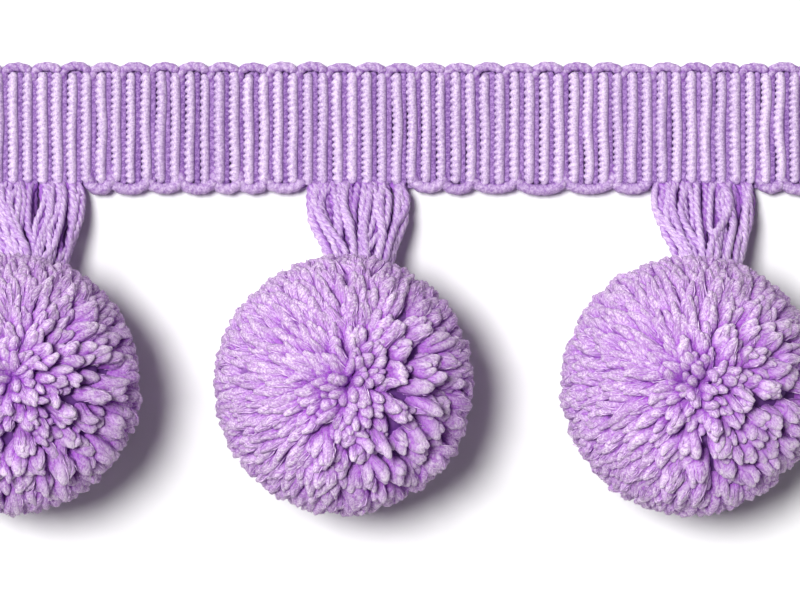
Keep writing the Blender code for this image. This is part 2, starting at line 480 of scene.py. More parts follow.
def add_strands(name, material, paths, radii, section, turns, tones, depth_shades, reference,
                flatten=1.0, furrows=None, around=None):
    """One mesh of many yarns.

    paths is strands x rings x 3 and radii strands x rings. section is the share of the radius at
    each side, or at each strand, ring and side. turns is the turn of the section at each ring.
    tones is a number for each strand, and depth_shades, the painted shade deep in the pile, one for
    each ring or for all. flatten scales the section along its up direction. furrows, the
    painted shade in the grooves between plies and at the ends, are worked out from the section if
    not given, and around is the angle of each side if they aren't even.
    """
    count, rings, _ = paths.shape
    section = np.broadcast_to(section, (count, rings, np.shape(section)[-1]))
    sides = section.shape[-1]
    across, up = sliding_frames(paths, reference)
    if around is None:
        around = even_angles(sides)
    angles = around + turns[..., None]
    reach = radii[..., None] * section
    points = (
        paths[:, :, None]
        + (reach * np.cos(angles))[..., None] * across[:, :, None]
        + (reach * np.sin(angles) * flatten)[..., None] * up[:, :, None]
    )
    ends = np.stack([paths[:, 0], paths[:, -1]], axis=1)
    points = np.concatenate([points.reshape(count, -1, 3), ends], axis=1).reshape(-1, 3)

    quads, fans = strand_faces(count, rings, sides)
    mesh = bpy.data.meshes.new(name)
    mesh.from_pydata(points.tolist(), [], quads.tolist() + fans.tolist())
    mesh.shade_smooth()

    # Painted shade in the grooves between plies, and at the strand's ends.
    if furrows is None:
        furrows = (section.max() - section) / max(float(np.ptp(section)), 1e-6)
    depth_shades = np.broadcast_to(depth_shades, (count, rings))
    furrows = np.pad(furrows.reshape(count, -1), ((0, 0), (0, 2)), constant_values=END_SHADE)
    depth_shades = np.concatenate([np.repeat(depth_shades, sides, axis=1), depth_shades[:, [0, -1]]], axis=1)
    paint_yarn(mesh, furrows.ravel(), np.repeat(tones, rings * sides + 2), depth_shades.ravel())

    strand, ring, around_share = strand_corners(count, rings, sides)
    lengths = path_lengths(paths)
    add_uv_map(mesh, "fibres", np.stack([around_share, lengths[strand, ring] / MM], -1))
    columns = math.ceil(math.sqrt(count))
    rows = math.ceil(count / columns)
    shares = np.stack([around_share, (lengths / lengths[:, -1:])[strand, ring]], -1)
    cells = np.stack([strand % columns, strand // columns], -1)
    cells = cells + MAP_MARGIN + (1 - 2 * MAP_MARGIN) * shares
    add_uv_map(mesh, "OFBake", cells / (columns, rows))
    mesh.uv_layers.active = mesh.uv_layers["fibres"]
    return add_piece(name, mesh, material)


def plied_section(plies, depth):
    """A section with a point on each ply's crest and one in each furrow between plies."""
    return 1 - depth * (np.arange(2 * plies) % 2)


def rounded_ends(shares, radius_share):
    """The share of a yarn's radius along it, with both ends rounded off."""
    near = np.clip(shares / radius_share, 0, 1)
    far = np.clip((1 - shares) / radius_share, 0, 1)
    nearest = np.minimum(near, far)
    return np.sqrt(np.clip(1 - (1 - nearest) ** 2, END_FLATNESS, 1))


def even_directions(count):
    """Even unit vectors over a sphere, from +Z to -Z."""
    place = (np.arange(count) + 0.5) / count
    z = 1 - 2 * place
    flat = np.sqrt(1 - z * z)
    turn = np.arange(count) * GOLDEN_ANGLE
    return np.stack([flat * np.cos(turn), flat * np.sin(turn), z], axis=-1)


# --- Materials ---


def add_node(tree, kind, **values):
    node = tree.nodes.new(kind)
    for key, value in values.items():
        setattr(node, key, value)
    return node


def mix_colours(tree, factor, first, second):
    """A colour mix. Each input is a socket or a constant."""
    node = add_node(tree, "ShaderNodeMix", data_type="RGBA")
    for place, value in ((0, factor), (6, first), (7, second)):
        socket = node.inputs[place]
        if isinstance(value, bpy.types.NodeSocket):
            tree.links.new(value, socket)
        else:
            socket.default_value = value
    return node.outputs[2]


def scaled(tree, socket, factor, offset=0.0, use_clamp=True):
    """socket times factor, plus offset."""
    node = add_node(tree, "ShaderNodeMath", operation="MULTIPLY_ADD", use_clamp=use_clamp)
    tree.links.new(socket, node.inputs[0])
    node.inputs[1].default_value = factor
    node.inputs[2].default_value = offset
    return node.outputs[0]


def added(tree, first, second):
    node = add_node(tree, "ShaderNodeMath", operation="ADD", use_clamp=True)
    tree.links.new(first, node.inputs[0])
    tree.links.new(second, node.inputs[1])
    return node.outputs[0]


def fibre_noise(tree, tone, turns, slant, stretch, detail):
    """Noise along a yarn's fibres, in another place for each tone. turns is how often it changes
    round the yarn, stretch how often along each millimetre, and slant how far it winds."""
    fibre_map = add_node(tree, "ShaderNodeUVMap", uv_map="fibres")
    place = add_node(tree, "ShaderNodeCombineXYZ")
    for axis, factors in enumerate(((turns, slant, 0), (0, stretch, 0))):
        spread = add_node(tree, "ShaderNodeVectorMath", operation="DOT_PRODUCT")
        tree.links.new(fibre_map.outputs[0], spread.inputs[0])
        spread.inputs[1].default_value = factors
        tree.links.new(spread.outputs["Value"], place.inputs[axis])
    apart = scaled(tree, tone, TONE_DISTANCE, use_clamp=False)
    tree.links.new(apart, place.inputs[2])
    noise = add_node(tree, "ShaderNodeTexNoise")
    noise.inputs["Scale"].default_value = 1.0
    noise.inputs["Detail"].default_value = detail
    noise.inputs["Roughness"].default_value = FIBRE_ROUGHNESS
    tree.links.new(place.outputs[0], noise.inputs["Vector"])
    return noise.outputs[0]


def nook_shade(tree, strength):
    """Painted shade: strength in a nook that its surroundings close off, and 0 in the open."""
    openness = add_node(tree, "ShaderNodeAmbientOcclusion", samples=NOOK_SAMPLES)
    openness.inputs["Distance"].default_value = NOOK_REACH
    return scaled(tree, openness.outputs["AO"], -strength, strength)


def yarn_material(name, light, dark, deep, furrow=0.5, depth=0.6, nook=0.0, roughness=0.7,
                  specular=0.2, speckle=1.0, strand_tone=0.3, fibre_turns=14.0, fibre_slant=0.0,
                  fibre_stretch=5.0, fibre_detail=3.0, bump=0.5):
    """Yarn, and unless told otherwise a cord of the heading. Its colour runs from light to dark
    from strand to strand and fibre to fibre. Painted shade takes it towards deep in the grooves
    between plies, down in the pile and in nooks that ambient occlusion finds."""
    material = bpy.data.materials.new(name)
    material.use_nodes = True
    tree = material.node_tree
    shader = tree.nodes["Principled BSDF"]
    shader.inputs["Roughness"].default_value = roughness
    shader.inputs["Specular IOR Level"].default_value = specular
    shader.inputs["Sheen Weight"].default_value = SHEEN_WEIGHT
    shader.inputs["Sheen Roughness"].default_value = SHEEN_ROUGHNESS
    shader.inputs["Sheen Tint"].default_value = SHEEN_TINT

    painted = add_node(tree, "ShaderNodeAttribute", attribute_name="yarn")
    parts = add_node(tree, "ShaderNodeSeparateColor")
    tree.links.new(painted.outputs["Color"], parts.inputs[0])
    furrow_shade_in, tone_in, depth_shade_in = parts.outputs[0], parts.outputs[1], parts.outputs[2]
    fibres = fibre_noise(tree, tone_in, fibre_turns, fibre_slant, fibre_stretch, fibre_detail)

    contrast = FIBRE_CONTRAST * speckle
    spots = scaled(tree, fibres, contrast, 0.5 * (1 - contrast))
    own_tone = scaled(tree, tone_in, strand_tone, -0.5 * strand_tone, use_clamp=False)
    tone = added(tree, own_tone, spots)
    # Painted shade from the furrow and depth channels and from nooks mixes the colour towards deep.
    shaded = added(tree, scaled(tree, furrow_shade_in, furrow), scaled(tree, depth_shade_in, depth))
    if nook:
        shaded = added(tree, shaded, nook_shade(tree, nook))
    deep_light = [d + NOOK_LIGHTNESS * (l - d) for d, l in zip(deep, light)]
    body = mix_colours(tree, tone, light, dark)
    low = mix_colours(tree, tone, deep_light, deep)
    tree.links.new(mix_colours(tree, shaded, body, low), shader.inputs["Base Color"])

    relief = add_node(tree, "ShaderNodeBump")
    relief.inputs["Strength"].default_value = bump
    relief.inputs["Distance"].default_value = FIBRE_RELIEF
    tree.links.new(fibres, relief.inputs["Height"])
    tree.links.new(relief.outputs[0], shader.inputs["Normal"])
    return material


def gimp_material():
    """The proud cords: silky, with painted shade in the notches between their beads."""
    return yarn_material(
        "gimp cord", light=(0.80, 0.66, 0.85, 1), dark=(0.43, 0.29, 0.53, 1),
        deep=(0.13, 0.04, 0.24, 1), furrow=1.0, roughness=0.5, specular=0.3,
    )


def band_material():
    """The low cords, darker than the proud ones: partly their own colour and partly painted shade
    of the grooves they lie in.
    """
    return yarn_material(
        "low cord", light=(0.51, 0.32, 0.65, 1), dark=(0.20, 0.09, 0.33, 1),
        deep=(0.13, 0.04, 0.24, 1), speckle=1.3, fibre_turns=9.0,
    )


def loop_material():
    return yarn_material(
        "loop cord", light=(0.66, 0.52, 0.72, 1), dark=(0.32, 0.19, 0.43, 1),
        deep=(0.20, 0.06, 0.34, 1), furrow=0.7, nook=0.9, specular=0.25,
    )


def ground_material():
    return yarn_material(
        "ground cloth", light=(0.52, 0.34, 0.66, 1), dark=(0.30, 0.16, 0.44, 1),
        deep=(0.16, 0.07, 0.26, 1), furrow=0.6,
    )


def neck_material():
    return yarn_material(
        "neck yarn", light=(0.79, 0.66, 0.82, 1), dark=(0.40, 0.24, 0.52, 1),
        deep=(0.26, 0.06, 0.44, 1), furrow=0.4, depth=0.9, nook=0.85, specular=0.3, speckle=0.9,
        fibre_turns=12.0, fibre_stretch=2.5,
    )


def pile_material():
    """Matt cut yarn, whose colour changes most from strand to strand."""
    return yarn_material(
        "pile yarn", light=(0.885, 0.79, 0.88, 1), dark=(0.44, 0.275, 0.52, 1),
        deep=(0.34, 0.06, 0.53, 1), furrow=0.3, depth=0.55, nook=0.93, roughness=0.85,
        strand_tone=0.85, fibre_turns=18.0, fibre_slant=-2.0, fibre_stretch=4.0,
        fibre_detail=2.0, bump=0.8,
    )


def fuzz_material():
    return yarn_material(
        "fuzz", light=(0.80, 0.65, 0.81, 1), dark=(0.50, 0.31, 0.60, 1),
        deep=(0.34, 0.06, 0.55, 1), nook=0.85, roughness=0.9, speckle=0.5, strand_tone=0.6,
        fibre_turns=11.0, fibre_stretch=2.0, bump=0.0,
    )


# Dark colours: painted shade for the gaps between the strands.
def shaded_core_material():
    return yarn_material(
        "pile roots", light=(0.34, 0.17, 0.46, 1), dark=(0.24, 0.09, 0.36, 1),
        deep=(0.12, 0.03, 0.22, 1), depth=0.9, speckle=0.8, fibre_turns=2.0, fibre_stretch=2.0,
    )


def floor_material():
    material = bpy.data.materials.new("floor")
    material.use_nodes = True
    shader = material.node_tree.nodes["Principled BSDF"]
    shader.inputs["Base Color"].default_value = (*[FLOOR_WHITENESS] * 3, 1)
    shader.inputs["Roughness"].default_value = FLOOR_ROUGHNESS
    shader.inputs["Specular IOR Level"].default_value = 0.0
    return material


# --- Heading ---


class Heading:
    """Sizes of the heading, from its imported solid."""

    def __init__(self):
        low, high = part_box("heading")
        self.left, self.right = low.x, high.x
        self.length = high.x - low.x
        self.pitch = self.length / RIB_COUNT

    def along(self, ribs):
        """x at a number of ribs from the left end."""
        return self.left + np.asarray(ribs) * self.pitch


def add_ribs(heading, material):
    """The proud gimp cords, side by side across the heading. Each is a chain of slanted beads,
    deeply notched on its left and smooth on its right."""
    rng = np.random.default_rng(RIB_SEED)
    share = np.linspace(0, 1, RIB_RINGS)
    ribs = np.arange(RIB_COUNT)
    paths = np.zeros((RIB_COUNT, RIB_RINGS, 3))
    sway = rng.normal(0, RIB_SWAY, (RIB_COUNT, 3))
    paths[:, :, 0] = heading.along(ribs + 0.5)[:, None] + RIB_OFFSET + sway @ bends(share)
    paths[:, :, 1] = RIB_END * (1 - 2 * share) + rng.normal(0, RIB_UNEVENNESS, (RIB_COUNT, 1))
    paths[:, :, 2] = RIB_AXIS_HEIGHT - RIB_END_DROP * np.abs(2 * share - 1) ** RIB_END_SQUARENESS
    around = np.radians(RIB_ANGLES)
    left = np.clip(-np.cos(around), 0, 1)
    right = np.clip(np.cos(around), 0, 1)
    lay = rng.normal(1, BEAD_SPREAD, (RIB_COUNT, 1, 1))
    travel = path_lengths(paths)[..., None] * lay / BEAD_PITCH
    starts = rng.uniform(*WAVE_STARTS, (RIB_COUNT, 1, 1))
    wander = BEAD_WANDER * np.sin(travel * BEAD_WANDER_RATE + starts)
    phase = travel + wander + rng.random((RIB_COUNT, 1, 1)) + BEAD_SLANT * (np.pi - around) / np.pi
    notch = np.abs(2 * (phase % 1) - 1) ** NOTCH_SHARPNESS
    strength = rng.uniform(*NOTCH_STRENGTHS, (RIB_COUNT, 1, 1))
    section = 1 - strength * (NOTCH_DEPTH + NOTCH_DEPTH_LEFT * left) * notch
    # Painted shade: in the notches, more on the left, and on the right side and below.
    furrows = strength * notch * (NOTCH_SHADE + NOTCH_SHADE_LEFT * left)
    low = np.clip(RIB_SHADE_BELOW - np.sin(around), 0, 1)
    furrows = np.clip(furrows + RIB_SHADE_RIGHT * right + low, 0, 1)
    width = RIB_HALF_WIDTH * rng.normal(1, RIB_WIDTH_SPREAD, (RIB_COUNT, 1))
    return add_strands(
        "heading_ribs", material, paths, width * rounded_ends(share, RIB_ROUNDING), section,
        np.zeros((RIB_COUNT, RIB_RINGS)), rng.random(RIB_COUNT), 0.0, (0, 0, 1),
        flatten=RIB_HALF_HEIGHT / RIB_HALF_WIDTH, furrows=furrows, around=around,
    )


def add_bands(heading, material):
    """The low cords in the grooves between the proud ones."""
    rng = np.random.default_rng(BAND_SEED)
    share = np.linspace(0, 1, BAND_RINGS)
    paths = np.zeros((RIB_COUNT, BAND_RINGS, 3))
    paths[:, :, 0] = heading.along(np.arange(RIB_COUNT) + 0.5)[:, None] + BAND_OFFSET
    # The last one stays inside the cut end.
    paths[-1, :, 0] = heading.right - BAND_RADIUS
    paths[:, :, 1] = BAND_END * (1 - 2 * share)
    paths[:, :, 2] = BAND_AXIS_HEIGHT + rng.normal(0, BAND_UNEVENNESS, (RIB_COUNT, 1))
    travel = path_lengths(paths)[..., None]
    starts = rng.uniform(*WAVE_STARTS, (RIB_COUNT, 1, 1))
    wave = even_angles(BAND_SIDES) - 2 * np.pi * travel / BAND_WRAP + starts
    section = 1 - BAND_FURROW * (0.5 + 0.5 * np.cos(wave))
    # BAND_DEPTH gives the low cords painted shade.
    return add_strands(
        "heading_bands", material, paths, BAND_RADIUS * rounded_ends(share, BAND_ROUNDING), section,
        np.zeros((RIB_COUNT, BAND_RINGS)), rng.random(RIB_COUNT), BAND_DEPTH, (0, 0, 1),
    )


def loop_paths(heading, starts, widths, edge, radius, rng):
    """Cords that leave one groove, arch past the edge and lie over the next loop's start. edge is
    1 for the +Y edge and -1 for the -Y edge."""
    share = np.linspace(0, 1, LOOP_RINGS)
    starts, widths = np.asarray(starts)[:, None], np.asarray(widths)[:, None]
    swing = np.clip((share - LOOP_LEG) / (1 - LOOP_LEG), 0, 1) * LOOP_TURN
    x = heading.along(starts + widths * (LOOP_SHIFT + 0.5 - 0.5 * np.cos(np.pi * swing)))
    crown = LOOP_REACH - radius + rng.normal(0, LOOP_UNEVENNESS, starts.shape)
    arch = np.sin(np.pi * swing) ** LOOP_FULLNESS
    climb = np.clip(share / LOOP_LEG, 0, 1)
    base = UPPER_LOOP_BASE if edge > 0 else LOWER_LOOP_BASE
    y = LOOP_START + (base - LOOP_START) * climb + (crown - base) * arch
    overlap = np.clip(swing - LOOP_OVERLAP_FROM, 0, 1)
    z = LOOP_HEIGHT + LOOP_CLIMB * climb ** 2 + LOOP_OVERLAP * overlap
    x = np.clip(x, heading.left + radius, heading.right - radius)
    return np.stack(np.broadcast_arrays(x, edge * y, z), axis=-1)


def add_loops(name, heading, starts, widths, edge, radius, seed, darkness, material):
    """The plied loops along one edge. starts and widths are in ribs, one for each loop."""
    rng = np.random.default_rng(seed)
    paths = loop_paths(heading, starts, widths, edge, radius, rng)
    count = len(paths)
    share = np.linspace(0, 1, LOOP_RINGS)
    radii = radius * rng.normal(1, LOOP_THICKNESS_SPREAD, (count, 1))
    radii = radii * rounded_ends(share, LOOP_ROUNDING)
    travel = path_lengths(paths)[..., None]
    turned = rng.uniform(*WAVE_STARTS, (count, 1, 1))
    wave = 2 * even_angles(LOOP_SIDES) - edge * 2 * np.pi * travel / LOOP_WRAP + turned
    section = 1 - LOOP_FURROW * (1 - np.abs(np.cos(wave / 2)) ** LOOP_FURROW_WIDTH)
    # The legs get painted shade, strongest at their start on the face.
    legs = np.clip(1 - share / LOOP_SHADED_SHARE, 0, 1)
    return add_strands(
        name, material, paths, radii, section, np.zeros((count, LOOP_RINGS)),
        darkness + rng.random(count), legs, (0, 0, 1),
    )


def add_ground(heading, material):
    """The ground cloth under the cords: a thin sheet whose back is woven, with a rib under each
    cord that warp yarns cross."""
    columns = RIB_COUNT * GROUND_COLUMNS_A_RIB
    rows = {0: GROUND_ROWS, 1: 1}
    ribs = np.arange(columns + 1) / GROUND_COLUMNS_A_RIB
    x = heading.along(ribs)
    points, faces, furrows, tones = [], [], [], []
    ribbing = 0.5 + 0.5 * np.cos(2 * np.pi * ribs)
    for top in (0, 1):
        for i in range(columns + 1):
            rib = (i + GROUND_COLUMNS_A_RIB // 2) // GROUND_COLUMNS_A_RIB
            for j in range(rows[top] + 1):
                crossing = ribbing[i] * (1 - GROUND_CROSSING * (j % 2))
                y = GROUND_HALF_WIDTH * (2 * j / rows[top] - 1)
                points.append((x[i], y, GROUND_TOP if top else GROUND_RELIEF * crossing))
                # The crossing also gives painted shade along the grooves between the proud cords.
                furrows.append(crossing)
                tones.append((rib * TONE_STEP + j * GROUND_ROW_TONE_STEP) % 1)
    layer = (columns + 1) * (rows[0] + 1)

    def at(i, j, top):
        return top * layer + i * (rows[top] + 1) + j

    for i in range(columns):
        faces.append((at(i, 0, 1), at(i + 1, 0, 1), at(i + 1, 1, 1), at(i, 1, 1)))
        for j in range(rows[0]):
            faces.append((at(i, j, 0), at(i, j + 1, 0), at(i + 1, j + 1, 0), at(i + 1, j, 0)))
        faces.append((at(i, 0, 0), at(i + 1, 0, 0), at(i + 1, 0, 1), at(i, 0, 1)))
        faces.append((at(i, 1, 1), at(i + 1, 1, 1), at(i + 1, rows[0], 0), at(i, rows[0], 0)))
    for i, order in ((0, -1), (columns, 1)):
        end = [at(i, j, 0) for j in range(rows[0] + 1)] + [at(i, 1, 1), at(i, 0, 1)]
        faces.append(tuple(end[::order]))
    mesh = bpy.data.meshes.new("heading_ground")
    mesh.from_pydata(points, [], faces)
    paint_yarn(mesh, furrows, tones, 0.0)
    places = np.array(points)[corner_points(mesh)]
    across = (places[:, 0] - heading.left) / heading.pitch
    add_uv_map(mesh, "fibres", np.stack([across, places[:, 1] / MM], -1))
    return add_piece("heading_ground", mesh, material)


# --- Necks ---


def neck_middle(name):
    """x of a neck's middle line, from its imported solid."""
    low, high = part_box("neck_" + name)
    return (low.x + high.x) / 2


def neck_form(distances):
    """Half width, height, half thickness and sideways shift at distances in mm."""
    table = np.array(NECK_SECTIONS)
    return [np.interp(distances, table[:, 0], table[:, column]) for column in range(1, 5)]


def lock_place(share, place, heading_edges, ball_edges):
    """How far across the neck a line runs that stays at its place between a lock's edges."""
    at_heading = heading_edges[0] + place * (heading_edges[1] - heading_edges[0])
    at_ball = ball_edges[0] + place * (ball_edges[1] - ball_edges[0])
    return (1 - share) * at_heading + share * at_ball


def add_neck(name, seed, material):
    """The plied yarns of one neck, lock by lock."""
    rng = np.random.default_rng(seed)
    share = np.linspace(0, 1, NECK_YARN_RINGS)
    distances = NECK_SECTIONS[0][0] + share * (NECK_SECTIONS[-1][0] - NECK_SECTIONS[0][0])
    half_width, height, half_thickness, shift = neck_form(distances)
    paths, tones, deep = [], [], []
    for yarns, top, bottom, level, proud in NECK_LOCKS:
        left, right = (lock_place(share, edge, top, bottom) for edge in (0, 1))
        for place in (np.arange(yarns) + 0.5) / yarns:
            wander = rng.normal(0, NECK_BENDS) @ bends(share)
            across = np.clip(lock_place(share, place, top, bottom) + wander, left, right)
            crown = np.sqrt(1 - np.abs(across) ** NECK_SQUARENESS)
            lift = (proud + rng.normal(0, NECK_UNEVENNESS)) * np.sin(np.pi * share)
            x = shift + across * (half_width - NECK_SIDE_INSET)
            z = height + (level * crown + lift) * (half_thickness - NECK_TOP_INSET)
            paths.append(np.stack([x, -distances, z], -1) * MM)
            tones.append(rng.random())
            # Painted shade on the lower layers.
            deep.append(NECK_SHADE * (NECK_TOP_LEVEL - level))
    paths = np.array(paths)
    paths[..., 0] += neck_middle(name)
    count = len(paths)
    radii = NECK_YARN_RADIUS * rng.normal(1, NECK_YARN_SPREAD, (count, 1))
    radii = radii * rounded_ends(share, NECK_YARN_ROUNDING)
    turns = rng.uniform(0, 2 * np.pi, (count, 1)) + 2 * np.pi * path_lengths(paths) / NECK_TWIST
    # Painted shade where the yarns go into the ball.
    in_ball = np.clip((share - NECK_DARK_FROM) / NECK_DARK_LENGTH, 0, 1)
    depth_shades = np.clip(np.array(deep)[:, None] + in_ball, 0, 1)
    return add_strands(
        "neck_%s_yarns" % name, material, paths, radii,
        plied_section(NECK_YARN_PLIES, NECK_YARN_FURROW), turns, np.array(tones), depth_shades,
        (0, 0, 1),
    )


# --- Pompoms ---


def turned_to(directions, pole):
    """Directions given about +Z, turned so that +Z comes to the pole."""
    turn = np.array(Vector((0, 0, 1)).rotation_difference(Vector(pole)).to_matrix())
    return directions @ turn.T


def looseness(tips):
    """From 0 where the pile is dense to 1 in the middle of its loose side."""
    nearness = tips @ unit(np.array(LOOSE_SIDE))
    return np.clip((nearness - 1 + LOOSE_SPREAD) / LOOSE_SPREAD, 0, 1) ** LOOSE_ONSET


def angles_from(pole, directions):
    return np.arccos(np.clip(directions @ pole, -1, 1))


def gathered(rng, pole, tips, loose):
    """The tips drawn together in tufts, how short the tuft of each is, from 0 to 1, and which of
    them are the middles of their tufts. Strays hardly move, and are the shortest."""
    clusters = even_directions(PILE_CLUSTERS)
    clusters = unit(clusters + rng.normal(0, PILE_CLUSTER_SCATTER, clusters.shape))
    nearness = tips @ clusters.T
    tuft = np.argmax(nearness, axis=1)
    shortness = rng.random(PILE_CLUSTERS)[tuft] ** 2
    own = np.where(tuft[:, None] == np.arange(PILE_CLUSTERS), nearness, -1)
    leads = np.argmax(own, axis=0)[tuft] == np.arange(len(tips))
    stray = rng.random(len(tips)) < STRAY_SHARE
    shortness = np.where(stray, STRAY_SHORTNESS, shortness)
    off_pole = np.clip((1 - np.abs(tips @ pole)) / POLE_CAP, 0, 1)
    pull = off_pole * (PILE_CLUSTERING + LOOSE_CLUSTERING * loose) * (1 - STRAY_FREEDOM * stray)
    tips = unit(tips + pull[:, None] * (clusters[tuft] - tips))
    return tips, shortness, leads


def pile_directions(rng, pole):
    """The root's and the tip's direction of each strand about the ball's middle, how loose the
    pile is there, how short the strand's tuft, and whether it is the middle of its tuft."""
    tips = turned_to(even_directions(PILE_STRANDS), pole)
    tips = unit(tips + rng.normal(0, PILE_SCATTER, tips.shape))
    polar = angles_from(pole, tips)
    loose = looseness(tips) * np.clip(polar / CROWN_RADIUS, CROWN_LOOSENESS, 1)
    loose = loose * np.clip((LOW_END - polar) / LOW_FADE, LOW_LOOSENESS, 1)
    kept = rng.random(len(tips)) > LOOSE_THINNING * loose
    tips, loose = tips[kept], loose[kept]
    tips, shortness, leads = gathered(rng, pole, tips, loose)
    polar = angles_from(pole, tips)
    outward = unit(tips - (tips @ pole)[:, None] * pole)
    polar = polar + CROWN_GAP * np.exp(-polar / CROWN_GAP_SPREAD)
    lean = PILE_LEAN * np.clip(1 - polar / PILE_LEAN_END, 0, 1) * (1 - LOOSE_UPRIGHTNESS * loose)
    roots, tips = (
        np.cos(angle)[:, None] * pole + np.sin(angle)[:, None] * outward
        for angle in (polar - lean * np.sin(polar), polar)
    )
    return roots, tips, loose, shortness, leads


def ball_middle(name):
    """Middle of a pompom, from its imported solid."""
    low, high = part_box("pompom_" + name)
    return np.array([(low.x + high.x) / 2, (low.y + high.y) / 2, high.z - (high.x - low.x) / 2])


def clear_of_neck(name, paths):
    """True for each strand that stays out of the neck's yarns."""
    distances = -paths[..., 1] / MM
    half_width, height, half_thickness, shift = neck_form(distances)
    inside = (distances > NECK_SECTIONS[0][0]) & (distances < NECK_SECTIONS[-1][0])
    across = (paths[..., 0] - neck_middle(name)) / MM - shift
    above = paths[..., 2] / MM - height
    sideways = across / (half_width + NECK_SIDE_CLEARANCE)
    upwards = above / (half_thickness + NECK_TOP_CLEARANCE)
    return ~(inside & (sideways ** 2 + upwards ** 2 < 1)).any(axis=1)


def pile_paths(rng, middle, roots, tips, loose, shortness, leads):
    """The strands' middle lines from root to tip, which curl a little and end unevenly."""
    share = np.array(PILE_SHARES)
    count = len(roots)
    bend = share[None, :, None] ** PILE_BEND
    directions = unit(roots[:, None] * (1 - bend) + tips[:, None] * bend)
    waves = rng.uniform(*PILE_CURL_WAVES, (count, 1, 1))
    curl = np.sin(np.pi * share[None, :, None] * waves)
    directions = unit(directions + curl * rng.normal(0, PILE_CURL, (count, 1, 3)))
    unevenness = rng.normal(0, PILE_UNEVENNESS, count) * (0.5 + 0.5 * loose)
    drop = loose * (LOOSE_UNEVENNESS * shortness + TUFT_STANDING * ~leads)
    reach = np.minimum(PILE_REACH + unevenness - drop, PILE_FURTHEST)
    distance = PILE_ROOT + (reach[:, None] - PILE_ROOT) * share
    paths = middle + directions * distance[..., None]
    paths[..., 2] = np.maximum(paths[..., 2], PILE_FLOOR_GAP)
    return paths


def pile_radii(rng, loose, leads):
    """The strands' radii at each ring: they swell from the root and are rounded at the tip."""
    share = np.array(PILE_SHARES)
    growth = np.clip(share / PILE_SWELL_END, 0, 1)
    swell = PILE_ROOT_RADIUS + (PILE_TIP_RADIUS - PILE_ROOT_RADIUS) * growth
    rounding = PILE_TAPER + (PILE_TIP_ROUNDING - PILE_TAPER) * loose[:, None]
    tip = np.clip((1 - share) / rounding, 0, 1)
    swell = swell * np.sqrt(np.clip(1 - (1 - tip) ** PILE_TIP_SQUARENESS, PILE_TIP_FLATNESS, 1))
    thickness = np.clip(rng.normal(1, PILE_THICKNESS_SPREAD, len(loose)), *PILE_THICKNESSES)
    thickness = thickness * (1 + (LOOSE_SWELLING + TUFT_SWELLING * leads) * loose)
    thickness = thickness * (1 + DENSE_SWELLING * (1 - loose))
    return swell * thickness[:, None]


def pile_tones_and_painted_light(rng, pole, tips, loose):
    """The strands' tones, which differ at random: painted light where the pile is loose, on the
    side turned from the lights, and painted shade where it is dense and on the crown, which face
    them."""
    crown = np.clip(1 - angles_from(pole, tips) / CROWN_SHADE_END, 0, 1)
    tones = DENSE_TONE + (LOOSE_TONE - DENSE_TONE) * loose + (CROWN_SHADE_TONE - DENSE_TONE) * crown
    return np.clip(tones + rng.normal(0, TONE_SPREAD, len(tips)), 0, 1)


def add_pile(name, seed, tilt, material):
    """The cut strands of one pompom, and their middle lines and radii for its loose fibres."""
    rng = np.random.default_rng(seed)
    pole = unit(np.array([*tilt, 1.0]))
    roots, tips, loose, shortness, leads = pile_directions(rng, pole)
    paths = pile_paths(rng, ball_middle(name), roots, tips, loose, shortness, leads)
    kept = clear_of_neck(name, paths)
    paths, tips, loose, leads = paths[kept], tips[kept], loose[kept], leads[kept]
    count, rings, _ = paths.shape
    radii = pile_radii(rng, loose, leads)
    roughness = (PILE_ROUGHNESS + LOOSE_ROUGHNESS * loose)[:, None, None]
    section = 1 - roughness * rng.random((count, rings, PILE_SIDES))
    tones = pile_tones_and_painted_light(rng, pole, tips, loose)
    # Painted shade down in the pile, towards the roots, more on the loose side.
    depth_shades = np.clip(PILE_SHADE * (1 - np.array(PILE_SHARES)) * (0.5 + loose[:, None]), 0, 1)
    piece = add_strands(
        "pompom_%s_pile" % name, material, paths, radii, section, np.zeros((count, rings)),
        tones, depth_shades, tips, flatten=(PILE_THINNESS + LOOSE_THICKENING * loose)[:, None, None],
    )
    return piece, paths, radii


def at_shares(shares, values):
    """What the values at each strand's rings come to at the strand's share of its length."""
    ring = np.interp(shares, PILE_SHARES, np.arange(len(PILE_SHARES)))
    near = np.minimum(ring.astype(int), len(PILE_SHARES) - 2)
    blend = (ring - near)[:, None]
    row = np.arange(len(shares))
    return values[row, near] * (1 - blend) + values[row, near + 1] * blend


